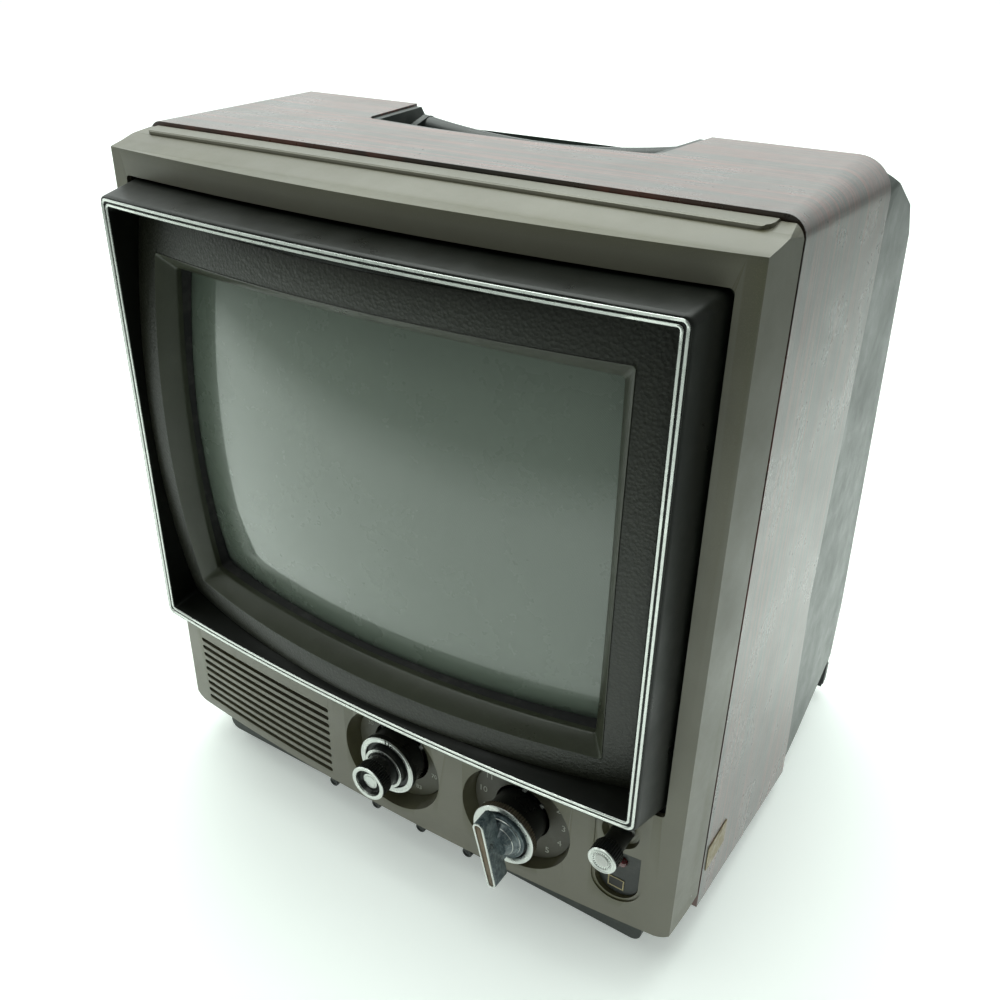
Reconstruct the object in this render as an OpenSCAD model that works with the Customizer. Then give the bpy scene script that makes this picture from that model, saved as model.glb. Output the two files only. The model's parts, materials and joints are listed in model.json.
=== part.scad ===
// Portable television with a bowed front mask, a screen hood, two tuning dials and a folding carry handle.
// Millimetres. +Z is up, +X is the viewer's right, the screen looks along -Y. Origin: bottom centre.

/* [Cabinet] */
// Width across the cabinet
cab_w = 340; // [300:1:380]
// Height of the cabinet's top above the ground
cab_top = 383.9; // [360:0.1:400]
// Wall thickness of the wrapped shell
cab_t = 3; // [2:0.5:6]
// Radius of the cabinet's top corners at the mask
cab_r = 8; // [4:1:20]
// Radius of the top right corner at the rear
cab_rr = 18; // [8:1:24]
// Width of the seam between mask and cabinet
seam = 1.5; // [0.5:0.1:3]

/* [Mask] */
// Radius of the front's sideways bow
bow_r = 1480; // [900:10:3000]
// How far the bow stands in front of the mask's corners
bow = 9.4; // [4:0.1:15]
// Height of the mask's lower edge
mask_lo = 28.5; // [20:0.1:40]
// Height of the mask's upper front edge
mask_hi = 375.6; // [360:0.1:390]
// Wall thickness of the mask
mask_t = 3; // [2:0.2:5]

/* [Screen] */
// Half width of the screen opening
scr_a = 121.6; // [100:0.1:140]
// Half height of the screen opening
scr_h = 88.2; // [70:0.1:110]
// Height of the screen's centre
scr_z = 236.5; // [220:0.1:250]
// Radius of the tube face
tube_r = 520; // [400:10:800]

/* [Controls] */
// Sideways place of the left dial
uhf_x = 1.2; // [-20:0.1:20]
// Sideways place of the right dial
vhf_x = 80.4; // [60:0.1:100]
// Height of both dials
dial_z = 67.6; // [50:0.1:80]
// Radius of a dial recess at the front
well_r = 32.2; // [25:0.1:36]
// Sideways place of the volume knob
vol_x = 137; // [130:0.1:145]
// Height of the volume knob
vol_z = 88; // [80:0.1:95]
// Number of grille slots
slots = 9; // [5:1:12]
// Distance from slot to slot
slot_p = 5.64; // [5:0.01:8]

/* [Handle] */
// Half width of the handle recess at its front
rec_w = 81.5; // [60:0.5:90]
// How fast the recess widens towards the rear
rec_f = 0.09; // [0:0.01:0.2]
// Thickness of the handle's grip
grip_d = 13; // [8:0.5:18]
// Distance from the handle's pivot to its grip
arm = 27.5; // [20:0.5:40]

/* [Hidden] */
yo = 118;                       // depth of the origin behind the mask's corners
cw = cab_w/2;
fc = bow_r - bow;               // depth of the bow's axis
function bow_y(x) = fc-sqrt(bow_r*bow_r-x*x);   // depth of the bowed front at x
running = 0.05;                 // radial gap of a turning fit

// ---------- helpers ----------
module fr() translate([0,-yo,0]) children();
// cylinder along +Y from y0 to y1
module cy(x,z,r,y0,y1,fn=64) translate([x,y0,z]) rotate([-90,0,0]) cylinder(h=y1-y0,r=r,$fn=fn);
// cone along +Y
module co(x,z,r0,r1,y0,y1) translate([x,y0,z]) rotate([-90,0,0]) cylinder(h=y1-y0,r1=r0,r2=r1,$fn=72);
// box from low corner to high corner
module bx(a,b) translate(a) cube([b[0]-a[0],b[1]-a[1],b[2]-a[2]]);
// block with rounded upright edges seen from the front, along Y
module rr(a,h,zc,r,y0,y1,fn=48) {
  bx([-a+r,y0,zc-h],[a-r,y1,zc+h]);
  bx([-a,y0,zc-h+r],[a,y1,zc+h-r]);
  for(sx=[-1,1],sz=[-1,1]) cy(sx*(a-r),zc+sz*(h-r),r,y0,y1,fn);
}
// slab from a side profile of [y,z] points, across x0..x1
module side(p,x0,x1) translate([x0,0,0]) rotate([90,0,90]) linear_extrude(x1-x0) polygon(p);
// slab from a plan of [x,y] points
module plan(p,z0,z1) translate([0,0,z0]) linear_extrude(z1-z0) polygon(p);
// body of the front's bow
function arcp(off,w=176,n=44) = [for(i=[0:n]) let(x=-w+2*w*i/n) [x,fc-sqrt(pow(bow_r-off,2)-x*x)]];
module bowcyl(off=0) plan(concat(arcp(off),[[176,60],[-176,60]]),-10,410);
// closed ring of points round a bowed rectangle
function ring(a,h,zc,y0,b,v,sx,sz,n=12) = concat(
  [for(i=[0:n-1]) let(t=-1+2*i/n,k=1-t*t) [a*t,y0-b*k,zc-h-sz*k]],
  [for(i=[0:n-1]) let(t=-1+2*i/n,k=1-t*t) [a+sx*k,y0-v*k,zc+h*t]],
  [for(i=[0:n-1]) let(t=1-2*i/n,k=1-t*t) [a*t,y0-b*k,zc+h+sz*k]],
  [for(i=[0:n-1]) let(t=1-2*i/n,k=1-t*t) [-a-sx*k,y0-v*k,zc+h*t]]);
// solid whose cross-section runs through the rings in turn
module loft(L) {
  n = len(L[0]); m = len(L);
  polyhedron(points=[for(l=L) for(p=l) p],
    faces=[for(j=[0:m-1]) for(i=[0:n-1]) for(k=[0,1])
      let(a=j*n+i,b=j*n+(i+1)%n,c=((j+1)%m)*n+(i+1)%n,d=((j+1)%m)*n+i) k==0 ? [a,c,b] : [a,d,c]]);
}
// ring of small grooves round a knob
module knurl(x,z,r,y0,y1,n,w) for(i=[0:n-1]) translate([x,0,z]) rotate([0,i*360/n,0]) translate([r-w/2,y0,-w/2]) cube([w,y1-y0,w]);

// ---------- cabinet ----------
function notch(d,y1) = let(w=rec_w-d,e=rec_w-d+rec_f*(y1-96),c=max(0.6,5-d)) concat(
  [[-w-0.1,94.6+d+c],[-w+c*0.3,94.6+d+c*0.3]],
  [for(i=[0:12]) let(x=(-1+2*i/12)*(w-c)) [x,88.4+6.2*pow(x/w,2)+d]],
  [[w-c*0.3,94.6+d+c*0.3],[w+0.1,94.6+d+c],[e,y1],[-e,y1]]);
// outline of the wrapped sheet, seen from the front
function wrap(y,d,rl,rr) = concat([[-cw+d,y,0],[cw-d,y,0]],
  [for(i=[0:10]) let(a=9*i) [cw-d-(rr-d)+(rr-d)*cos(a),y,cab_top-d-(rr-d)+(rr-d)*sin(a)]],
  [for(i=[0:10]) let(a=90+9*i) [-cw+d+(rl-d)+(rl-d)*cos(a),y,cab_top-d-(rl-d)+(rl-d)*sin(a)]]);
module wrapped(d,y0,y1) { A=wrap(y0,d,cab_r,cab_r); B=wrap(y1,d,cab_r,cab_rr); n=len(A);
  polyhedron(points=concat(A,B),faces=concat([[for(i=[0:n-1]) n-1-i]],[[for(i=[0:n-1]) n+i]],[for(i=[0:n-1]) for(k=[0,1]) let(j=(i+1)%n) k==0 ? [i,n+j,n+i] : [i,j,n+j]])); }
module cabinet() color([0.24,0.13,0.09]) fr() {
  difference() {
    intersection() { wrapped(0,20,170); side([[28.3,27],[164.6,12.2],[162.5,40.8],[146.2,152],[146.2,330],[143.6,400],[28.3,400]],-cw-1,cw+1); }
    wrapped(cab_t,19,171);
    plan(notch(0,182),360,400);
  }
  for(s=[-1,1],z=[70,330]) difference() {
    bx([s>0?149.5:-cw+cab_t-0.5,z>200?126:140,z-8],[s>0?cw-cab_t+0.5:-149.5,z>200?145:156,z+8]);
    cy(s*156,z,1.5,120,170,32);
  }
}
// ---------- front mask ----------
module mask_body(i) intersection() {
  bowcyl(i);
  plan([[-165.5+i,-14],[165.5-i,-14],[169.8-i,26.8+2*i],[-169.8+i,26.8+2*i]],0,400);
  union() {
    side([[-14,mask_lo+i],[26.8+2*i,27.1+i],[26.8+2*i,381.3-i],[17,379.7-i],[8,377.4-i],[0,mask_hi+0.2-i],[-14,mask_hi-0.3-i]],-cw,cw);
    // raised ledge along the top, with round ends
    if(i==0) intersection() {
      side([[10,370],[16.6,370],[16.6,380.2],[17.0,381.1],[17.8,381.7],[25.8,382.4],[26.8,382.0],[26.8,370]],-cw,cw);
      plan([[-160.4,27],[-160.4,21.6],[-159.6,19.2],[-158,17.4],[-155.6,16.4],[155.6,16.4],[158,17.4],[159.6,19.2],[160.4,21.6],[160.4,27]],360,400);
    }
  }
  union() { bx([-cw+12,-20,20],[cw-12,40,400]); bx([-cw,-20,39.5],[cw,40,cab_top-1.2-8]); bx([-cw+8,-20,39.5],[cw-8,40,400]);
    for(s=[-1,1]) { cy(s*(cw-12),40,12-i,-20,40); cy(s*(cw-8.2),cab_top-9.4,8.2-i,-20,40); } }
}
module front_mask() color([0.33,0.27,0.2]) fr() difference() {
  union() {
    difference() {
      mask_body(0);
      mask_body(mask_t);
      rr(157.2,127.3,236.2,2.4,-40,40,36);
      for(k=[0:slots-1]) { z=35.6+slot_p*k; bx([-151.8,-20,z-1.45],[-45.4,5,z+1.45]); for(x=[-151.8,-45.4]) cy(x,z,1.45,-20,5,32); }
    }
    // tongue that enters the cabinet
    difference() { rr(166.6,174.6,205.2,10,23.5,36); rr(164.2,172.2,205.2,8,22,37); }
    // dial wells and volume well
    intersection() { bowcyl(1.5); union() { for(x=[uhf_x,vhf_x]) cy(x,dial_z,34.2,-12,3,96); cy(vol_x,vol_z,13,-12,3); bx([vol_x-13.6,-8,42],[vol_x+13.6,3,90]); } }
    // speaker and bracket bosses
    for(sx=[-1,1],sz=[-1,1]) cy(-98.6+sx*23,59.5+sz*22,3,bow_y(-98.6+sx*23)+1.7,-0.1,32);
  }
  for(x=[uhf_x,vhf_x]) { co(x,dial_z,well_r+1.05,29.5,-13.5,1); cy(x,dial_z,19,0,5); }
  // shallow stadium round the volume knob and the pilot lamp
  difference() { union() { bx([vol_x-13.2,-20,55.2],[vol_x+13.2,10,99]); cy(vol_x,55.2,13.2,-20,10); } bowcyl(0.8); }
  co(vol_x,vol_z,12.2,8.6,-10,1); cy(vol_x,vol_z,5.75,0,5);
  bx([vol_x-11.4,-20,55.2],[vol_x+11.4,1,75.6]); cy(vol_x,55.2,11.4,-20,1);
  cy(138.6,67.8,3.4,0,5,32);
  for(sx=[-1,1],sz=[-1,1]) cy(-98.6+sx*23,59.5+sz*22,1.3,bow_y(-98.6+sx*23)+2.3,1,24);
}
// ---------- hood, trims, bezel ----------
module hood() color([0.11,0.1,0.09]) fr() difference() {
  union() {
    loft([ring(156.2,126.4,236.2,3,0,0,0,0),ring(152.1,121.75,236.85,-22.7,7.7,0,0,0),ring(147.3,117,236.85,-22.7,7.7,0,0,0),
      ring(146,113.9,237,-5.2,22.6,13.1,0.5,0.5),ring(146,113.9,237,-2.4,22.6,13.1,0.5,0.5),ring(153.4,123.6,236.2,3.2,0,0,0,0),
      ring(153.4,123.6,236.2,6,0,0,0,0),ring(163,132.2,236.4,6,0,0,0,0),ring(163,132.2,236.4,3.05,0,0,0,0)]);
    for(sx=[-1,1],sz=[-1,1]) difference() { cy(sx*154,236.5+sz*124.6,4.4,5.9,17.9,32); }
  }
  for(sx=[-1,1],sz=[-1,1]) cy(sx*154,236.5+sz*124.6,1.6,8,19,32);
}
module trim(a0,a1,p) loft([ring(a0,a0-30.35,236.85,-22.77,7.7,0,0,0),ring(a0,a0-30.35,236.85,-22.7-p,7.7,0,0,0),ring(a1,a1-30.35,236.85,-22.7-p,7.7,0,0,0),ring(a1,a1-30.35,236.85,-22.77,7.7,0,0,0)]);
module trim_outer() color([0.75,0.75,0.73]) fr() trim(151.2,149.9,0.6);
module trim_inner() color([0.75,0.75,0.73]) fr() trim(148.7,147.4,0.6);
module screen_bezel() color([0.2,0.17,0.14]) fr() loft([
  ring(145.8,113.7,237,-5.2,22.6,13.1,0.5,0.5),
  ring(128.6,96,236.6,-13.4,15.4,7.4,2.7,1.9),
  ring(scr_a,scr_h,scr_z,-7.4,11.7,4.2,2.7,2.4),
  ring(scr_a,scr_h,scr_z,-4.6,11.7,4.2,2.7,2.4),
  ring(scr_a+3.4,scr_h+3.4,scr_z,-4.6,11.7,4.2,2.7,2.4),
  ring(131.2,98.6,236.6,-10.6,15.2,7.2,2.7,1.9),
  ring(145.8,113.7,237,-2.4,22.6,13.1,0.5,0.5)]);
module screen_gasket() color([0.03,0.03,0.03]) fr() loft([
  ring(scr_a+0.3,scr_h+0.3,scr_z,-4.5,11.7,4.2,2.7,2.4),
  ring(scr_a-0.6,scr_h-0.6,scr_z,1.4,13.9,6.9,2.7,2.4),
  ring(scr_a+3,scr_h+3,scr_z,2.0,13.9,6.9,2.7,2.4),
  ring(scr_a+3,scr_h+3,scr_z,-4.5,11.7,4.2,2.7,2.4)]);
// ---------- picture tube ----------
module crt_panel() color([0.36,0.42,0.4]) fr() difference() {
  intersection() { translate([0,tube_r-20,scr_z]) sphere(r=tube_r,$fn=256); rr(134,101,scr_z,20,-30,24); }
  intersection() { translate([0,tube_r-20,scr_z]) sphere(r=tube_r-9,$fn=256); rr(126.5,93.5,scr_z,14,-30,25); }
}
module funnel_shape(d) hull() { for(sx=[-1,1],sz=[-1,1]) cy(sx*(116-d*0.2),scr_z+sz*(83-d*0.2),16-d*0.9,24.2,26,32); cy(0,scr_z,17-d,138,140,32); }
module crt_funnel() color([0.12,0.12,0.13]) fr() difference() {
  union() { funnel_shape(0); cy(0,scr_z,14.5,139,236); cy(0,scr_z,12.6,235,240); for(i=[0:7]) cy(7.6*cos(i*45),scr_z+7.6*sin(i*45),0.5,239,243,16); }
  funnel_shape(5); translate([0,-0.1,0]) intersection() { funnel_shape(5); bx([-200,24,0],[200,26,400]); }
  cy(0,scr_z,12.4,130,232);
}
module rimband() color([0.5,0.5,0.5]) fr() difference() {
  union() {
    difference() { rr(136.4,103.4,scr_z,22,4,18); rr(134.25,101.25,scr_z,20.2,3,19); }
    for(sx=[-1,1],sz=[-1,1]) difference() { hull() { cy(sx*154,236.5+sz*124.6,7,18,19.8,32); cy(sx*128,scr_z+sz*95,8,18,19.8,32); } rr(134.25,101.25,scr_z,20.2,17,21); }
  }
  for(sx=[-1,1],sz=[-1,1]) cy(sx*154,236.5+sz*124.6,2.1,17,21,32);
}
module crt_screws() color([0.6,0.6,0.6]) fr() for(sx=[-1,1],sz=[-1,1]) difference() {
  union() { cy(sx*154,236.5+sz*124.6,4.2,19.85,23,32); cy(sx*154,236.5+sz*124.6,1.55,9,20,32); }
  translate([sx*154,22.2,236.5+sz*124.6]) for(a=[0,90]) rotate([0,a,0]) translate([-2.4,0,-0.4]) cube([4.8,1,0.8]);
}
module deflection_yoke() color([0.45,0.22,0.12]) fr() difference() {
  union() { cy(0,scr_z,40,141,144.5); cy(0,scr_z,33,144,170); cy(0,scr_z,38,169,172); cy(0,scr_z,18,171,178); for(a=[0:45:315]) translate([0,0,scr_z]) rotate([0,a,0]) bx([30,146,-5],[36.5,168,5]); }
  cy(0,scr_z,14.7,138,180); co(0,scr_z,21,14.7,140,147);
}
module neck_magnets() color([0.85,0.83,0.75]) fr() difference() {
  union() { cy(0,scr_z,17,181,204); for(y=[183,189,195]) { cy(0,scr_z,24,y,y+3.2); translate([0,0,scr_z]) rotate([0,(y-183)*9,0]) bx([20,y,-3],[30,y+3.2,3]); } }
  cy(0,scr_z,14.6,180,206);
}
module socket_board() color([0.4,0.3,0.12]) fr() difference() {
  union() { bx([-27,243.4,scr_z-27],[27,245,scr_z+27]); cy(0,scr_z,17,230,243.5); bx([12,245,scr_z-20],[24,253,scr_z-8]); bx([-24,245,scr_z+6],[-15,254,scr_z+18]); }
  cy(0,scr_z,14.65,229,240.4); for(i=[0:7]) cy(7.6*cos(i*45),scr_z+7.6*sin(i*45),0.7,240,244.2,16);
}
// ---------- dials ----------
module uhf_plate() color([0.2,0.17,0.14]) fr() difference() { cy(uhf_x,dial_z,29.3,0,0.95); cy(uhf_x,dial_z,18.6,-1,2); }
module vhf_plate() color([0.34,0.29,0.23]) fr() difference() { cy(vhf_x,dial_z,29.3,0,0.95); cy(vhf_x,dial_z,16.2,-1,2); }
module uhf_ring() color([0.1,0.1,0.1]) fr() difference() {
  union() { cy(uhf_x,dial_z,16.8,-11.6,-0.6); cy(uhf_x,dial_z,18,-13,-9.5); cy(uhf_x,dial_z,12.3,-16.3,-11); cy(uhf_x,dial_z,9.6,-21.8,-15.6); cy(uhf_x,dial_z,5,-1,40); }
  difference() { cy(uhf_x,dial_z,14.7,-14,-12.2); cy(uhf_x,dial_z,12.3,-15,-12); }
  cy(uhf_x,dial_z,3.05,-23,41);
}
module uhf_ring_face() color([0.75,0.75,0.72]) fr() {
  difference() { cy(uhf_x,dial_z,18,-13.6,-13.02); cy(uhf_x,dial_z,14.7,-14,-12); bx([uhf_x-0.5,-14,dial_z+14],[uhf_x+0.5,-13.3,dial_z+19]); }
  difference() { cy(uhf_x,dial_z,12.3,-16.8,-16.32); cy(uhf_x,dial_z,10.6,-17,-16); }
}
module uhf_fine_knob() color([0.1,0.1,0.1]) fr() difference() {
  union() { cy(uhf_x,dial_z,10.5,-29.6,-22); cy(uhf_x,dial_z,3,-27,46); }
  cy(uhf_x,dial_z,8,-31,-26.4);
  knurl(uhf_x,dial_z,10.5,-29.6,-23,36,0.8);
}
module uhf_fine_rim() color([0.8,0.8,0.78]) fr() difference() { cy(uhf_x,dial_z,10.5,-30.4,-29.65); cy(uhf_x,dial_z,8,-31,-29); }
module uhf_fine_cap() color([0.85,0.85,0.83]) fr() difference() { cy(uhf_x,dial_z,4.8,-28,-26.45); cy(uhf_x,dial_z,3.02,-27.1,-26); }
module vhf_ring() color([0.09,0.09,0.09]) fr() difference() {
  union() { cy(vhf_x,dial_z,15.2,-15.2,-0.6); cy(vhf_x,dial_z,18,-19,-15); cy(vhf_x,dial_z,5,-1,40); }
  cy(vhf_x,dial_z,14.4,-20,-17);
  cy(vhf_x,dial_z,3.05,-20,41);
  knurl(vhf_x,dial_z,18,-18.6,-15.4,60,0.7);
}
module vhf_ring_face() color([0.8,0.8,0.78]) fr() difference() { cy(vhf_x,dial_z,18,-19.6,-19.02); cy(vhf_x,dial_z,14.4,-20,-18); }
module blade_side(w0,w1,y0,y1,l) translate([vhf_x,0,dial_z]) rotate([0,-13.8,0]) hull() { translate([0,y0,l-w0/2]) rotate([-90,0,0]) cylinder(h=y1-y0,r=w0/2,$fn=32); translate([0,y0,-l+w1/2]) rotate([-90,0,0]) cylinder(h=y1-y0,r=w1/2,$fn=32); }
module vhf_knob() color([0.3,0.36,0.38]) fr() {
  difference() { cy(vhf_x,dial_z,13.2,-21.4,-17.3); difference() { cy(vhf_x,dial_z,14,-22,-20.6); cy(vhf_x,dial_z,11,-23,-20); } }
  co(vhf_x,dial_z,6.5,10.4,-27,-21.3);
  blade_side(6.4,5.2,-35.7,-25.4,20.4);
  translate([vhf_x,0,dial_z]) rotate([0,-13.8,0]) bx([-2.9,-25.6,-10],[2.9,-21.2,10]);
  cy(vhf_x,dial_z,3,-18,58);
}
module vhf_blade_trim() color([0.82,0.82,0.8]) fr() difference() { blade_side(6.4,5.2,-36.5,-35.75,20.4); blade_side(3.8,2.8,-37,-35,19); }
// ---------- volume, pilot ----------
// stem that slides in and out of the mask to switch the set on
module volume_sleeve() color([0.06,0.06,0.06]) fr() difference() { union() { cy(vol_x,vol_z,5.6,-13.9,-0.6); cy(vol_x,vol_z,6.6,-13.9,-12.6); } cy(vol_x,vol_z,3+running,-15,1); }
module volume_knob() color([0.1,0.1,0.1]) fr() difference() {
  union() { cy(vol_x,vol_z,7.5,-22,-14); cy(vol_x,vol_z,3,-14.5,14); }
  knurl(vol_x,vol_z,7.5,-21.6,-14.6,28,0.8);
}
module volume_face() color([0.82,0.82,0.8]) fr() { difference() { cy(vol_x,vol_z,7.5,-22.8,-22.02); cy(vol_x,vol_z,5.4,-23,-22.5); } cy(vol_x,vol_z,3.2,-22.8,-22.3); }
module lamp_plate() color([0.16,0.17,0.17]) fr() difference() { union() { bx([vol_x-11.1,0,55.2],[vol_x+11.1,0.95,75.3]); cy(vol_x,55.2,11.1,0,0.95); } cy(138.6,67.8,2.8,-1,2,32); }
module pilot_jewel() color([0.5,0.03,0.04]) fr() { cy(138.6,67.8,2.7,-1,1.8,32); intersection() { translate([138.6,-0.2,67.8]) sphere(r=2.7,$fn=48); bx([130,-4,60],[145,0,75]); } cy(138.6,67.8,3.2,1.1,1.9,32); }
module badge_blank() color([0.45,0.36,0.16]) fr() bx([131.6,-0.35,47.6],[140.6,-0.02,54.6]);
// ---------- small controls ----------
function pegx(i) = -49.5+32.3*i;
module peg(i) fr() { difference() { cy(pegx(i),18.3,3.1,-3,9,32); cy(pegx(i),18.3,1.9,-4,-2.4,32); } cy(pegx(i),18.3,1.5,8.5,17,32); }
module peg_1() color([0.08,0.1,0.1]) peg(0);
module peg_2() color([0.08,0.1,0.1]) peg(1);
module peg_3() color([0.08,0.1,0.1]) peg(2);
module peg_4() color([0.08,0.1,0.1]) peg(3);
module control_pots() color([0.35,0.3,0.15]) fr() { for(i=[0:3]) difference() { bx([pegx(i)-5,13,12.5],[pegx(i)+5,21,23.5]); cy(pegx(i),18.3,1.5+running,12,17.4,32); } bx([-62,21,10],[60,22.6,26]); }
// ---------- tuners ----------
module tuner(x,w,h,y1,r) difference() {
  union() { bx([x-w,24.1,dial_z-h],[x+w,y1,dial_z+h]); cy(x,dial_z,7.5,12,25); cy(x,dial_z,10.5,19.5,22); }
  bx([x-w+1.2,26.5,dial_z-h+1.2],[x+w-1.2,y1-1.2,dial_z+h-1.2]);
  cy(x,dial_z,5+running,10,30); cy(x,dial_z,3.1,10,y1-1.1);
  for(z=[-12,0,12]) bx([x+w-2,34,dial_z+z-2],[x+w+2,y1-12,dial_z+z+2]);
}
module uhf_tuner() color([0.6,0.6,0.57]) fr() tuner(uhf_x,22,20,76,9);
module vhf_tuner() color([0.6,0.6,0.57]) fr() tuner(vhf_x,28,24,92,9);
module tuner_bracket() color([0.55,0.55,0.52]) fr() difference() {
  union() { bx([-31,22.2,36],[119,24,99.6]); for(x=[-28,116],z=[39,96.6]) cy(x,z,2.8,x<0?-5.9:-1.6,22.5,32); }
  for(x=[uhf_x,vhf_x]) cy(x,dial_z,8,20,26);
}
module volume_pot() color([0.5,0.5,0.48]) fr() difference() { union() { cy(vol_x,vol_z,5.4,3.9,6); cy(vol_x,vol_z,9.5,5.2,18); bx([vol_x-5,17,vol_z-6],[vol_x+5,23,vol_z+6]); } cy(vol_x,vol_z,3+running,0,20); }
// ---------- speaker ----------
module speaker_frame() color([0.15,0.15,0.15]) fr() difference() {
  union() { bx([-125.6,0,33.5],[-71.6,1.4,85.5]); co(-98.6,59.5,25.5,14.5,1,15); cy(-98.6,59.5,14.5,14.8,16.4); }
  co(-98.6,59.5,24.6,13.5,0.9,14); cy(-98.6,59.5,24.6,-1,1); cy(-98.6,59.5,7,13,17);
  for(a=[0:60:300]) translate([-98.6,0,59.5]) rotate([0,a,0]) bx([15,4,-4],[26,11,4]);
  for(sx=[-1,1],sz=[-1,1]) cy(-98.6+sx*23,59.5+sz*22,1.6,-1,3,24);
}
module speaker_magnet() color([0.3,0.3,0.32]) fr() { cy(-98.6,59.5,16,16.5,27); cy(-98.6,59.5,6.6,12,16.6); }
module speaker_cone() color([0.1,0.09,0.08]) fr() difference() { union() { co(-98.6,59.5,24.2,7,1.2,11.6); } co(-98.6,59.5,23.2,6,1.0,10.8); }
module speaker_screws() color([0.6,0.6,0.6]) fr() for(sx=[-1,1],sz=[-1,1]) { cy(-98.6+sx*23,59.5+sz*22,2.7,1.45,3.2,24); cy(-98.6+sx*23,59.5+sz*22,1.25,bow_y(-98.6+sx*23)+2.6,1.6,24); }
// ---------- chassis ----------
module main_board() color([0.45,0.36,0.14]) fr() difference() { union() { bx([-140,97,42],[140,200,43.6]); for(x=[-60:22:40]) bx([x,150,43.5],[x+8,158,50+abs(x)/8]); bx([20,108,43.5],[46,134,60]); bx([-20,110,43.5],[4,124,56]); } for(x=[-130,130],y=[104,144]) translate([x,y,40]) cylinder(h=5,r=1.8,$fn=24); }
module flyback() color([0.12,0.1,0.1]) fr() { bx([-128,150,43.7],[-86,192,60]); translate([-107,171,59.9]) cylinder(h=44,r=19,$fn=48); bx([-112,186,80],[-102,196,92]); }
module heatsink() color([0.25,0.25,0.26]) fr() { bx([66,190,43.7],[134,193,104]); for(x=[68:8:132]) bx([x,192.9,46],[x+1.6,205,102]); }
module capacitors() color([0.1,0.15,0.35]) fr() { translate([78,150,43.7]) cylinder(h=52,r=15,$fn=48); translate([118,140,43.7]) cylinder(h=40,r=12,$fn=48); translate([104,170,43.7]) cylinder(h=34,r=10,$fn=48); }
// ---------- plinth, feet ----------
module plinth() color([0.16,0.17,0.16]) fr() difference() {
  union() {
    difference() {
      union() { bx([-149,9.5,10],[149,150,28.3]); bx([-143,9.5,4],[143,150,10.1]); for(s=[-1,1]) translate([s*143,9.5,10]) rotate([-90,0,0]) cylinder(h=140.5,r=6,$fn=48); }
      bx([-146.5,12,6.6],[146.5,147.5,40]);
      bx([-160,0,26.9],[160,160,40]);
    }
    difference() { bx([-166.2,36.6,24.3],[166.2,146.0,26.8]); bx([-149,30,20],[149,150,30]); }
    for(x=[-130,130],y=[104,144]) translate([x,y,5]) cylinder(h=36.9,r=4,$fn=32);
  }
  for(i=[0:3]) cy(pegx(i),18.3,1.8,8,14,32);
  for(x=[-130,130],y=[104,144]) translate([x,y,30]) cylinder(h=15,r=1.4,$fn=24);
}
module feet() color([0.05,0.05,0.05]) fr() for(x=[-125,125],y=[21,136]) translate([x,y,0]) { cylinder(h=3.9,r1=7.6,r2=8.6,$fn=48); }
// ---------- back cover ----------
module back_cover() color([0.17,0.19,0.18]) fr() difference() {
  union() {
    difference() {
      union() {
        intersection() {
          side([[144.75,380.3],[206.5,351],[220,334],[262,81],[262,38],[199,19],[164.9,12.4],[162.8,40.8],[146.5,152],[146.5,330]],-169,169);
          plan([[-168.4,141],[168.4,141],[168.4,146],[164.8,262.1],[-164.8,262.1],[-168.4,146]],0,400);
          union() { bx([-170,140,0],[170,270,363]); bx([-170,140,0],[150.4,270,372]); bx([-159.4,140,0],[150.4,270,400]); cy(150.4,363,18,140,270); cy(-159.4,372,9,140,270); }
        }
        bx([-52,215,182],[52,262,296]);
      }
      intersection() {
        side([[140,378],[205.2,348.2],[217.3,333],[259.3,80.6],[259.3,40],[198.4,21.8],[166,15.5],[140,10]],-166,166);
        plan([[-166,139],[166,139],[162.2,262],[-162.2,262]],0,400);
        union() { bx([-170,138,0],[170,270,363]); bx([-170,138,0],[150.4,270,372]); bx([-159.4,138,0],[150.4,270,400]); cy(150.4,363,15.4,138,270); cy(-159.4,372,6.4,138,270); }
      }
      bx([-49.4,210,184.6],[49.4,259.4,293.4]);
    }
    for(s=[-1,1]) { cy(s*156,330,4.6,146.6,219,32); cy(s*156,70,4.6,160,260,32); }
    bx([-166.3,150.4,15.4],[166.3,172,17.6]);
  }
  plan([[rec_w+4.6,140],[rec_w+7,168.6],[-rec_w-7,168.6],[-rec_w-4.6,140]],344.6,390);
  for(s=[-1,1]) { cy(s*156,330,2,140,270,32); cy(s*156,70,2,140,270,32); cy(s*156,330,4.2,214.5,270,32); cy(s*156,70,4.2,257,270,32); }
  for(s=[-1,1],k=[0:7]) bx([s*(66+10*k)-1.6,200,196],[s*(66+10*k)+1.6,270,290]);
  for(k=[0:10]) bx([-75+15*k-5,200,146],[-75+15*k+5,270,149.4]);
  for(k=[0:10]) bx([-75+15*k-5,200,136],[-75+15*k+5,270,139.4]);
  bx([-121.2,250,50.8],[-98.8,270,65.2]);
  for(x=[48,82],z=[53,65]) cy(x,z,1.7,250,270,24);
}
module back_screws() color([0.35,0.35,0.35]) fr() for(s=[-1,1]) { cy(s*156,330,3.6,214.6,217.4,32); cy(s*156,330,1.45,130,215,32); cy(s*156,70,3.6,257.1,259.5,32); cy(s*156,70,1.45,144,258,32); }
module terminal_plate() color([0.1,0.1,0.1]) fr() difference() { bx([42,262.1,47],[88,264,71]); for(x=[48,82],z=[53,65]) cy(x,z,1.7,260,266,24); }
module terminal_screws() color([0.7,0.65,0.4]) fr() for(x=[48,82],z=[53,65]) { difference() { cy(x,z,3,264.05,266.6,32); bx([x-3.2,266,z-0.4],[x+3.2,267,z+0.4]); } cy(x,z,1.6,254,264.5,24); }
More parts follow.
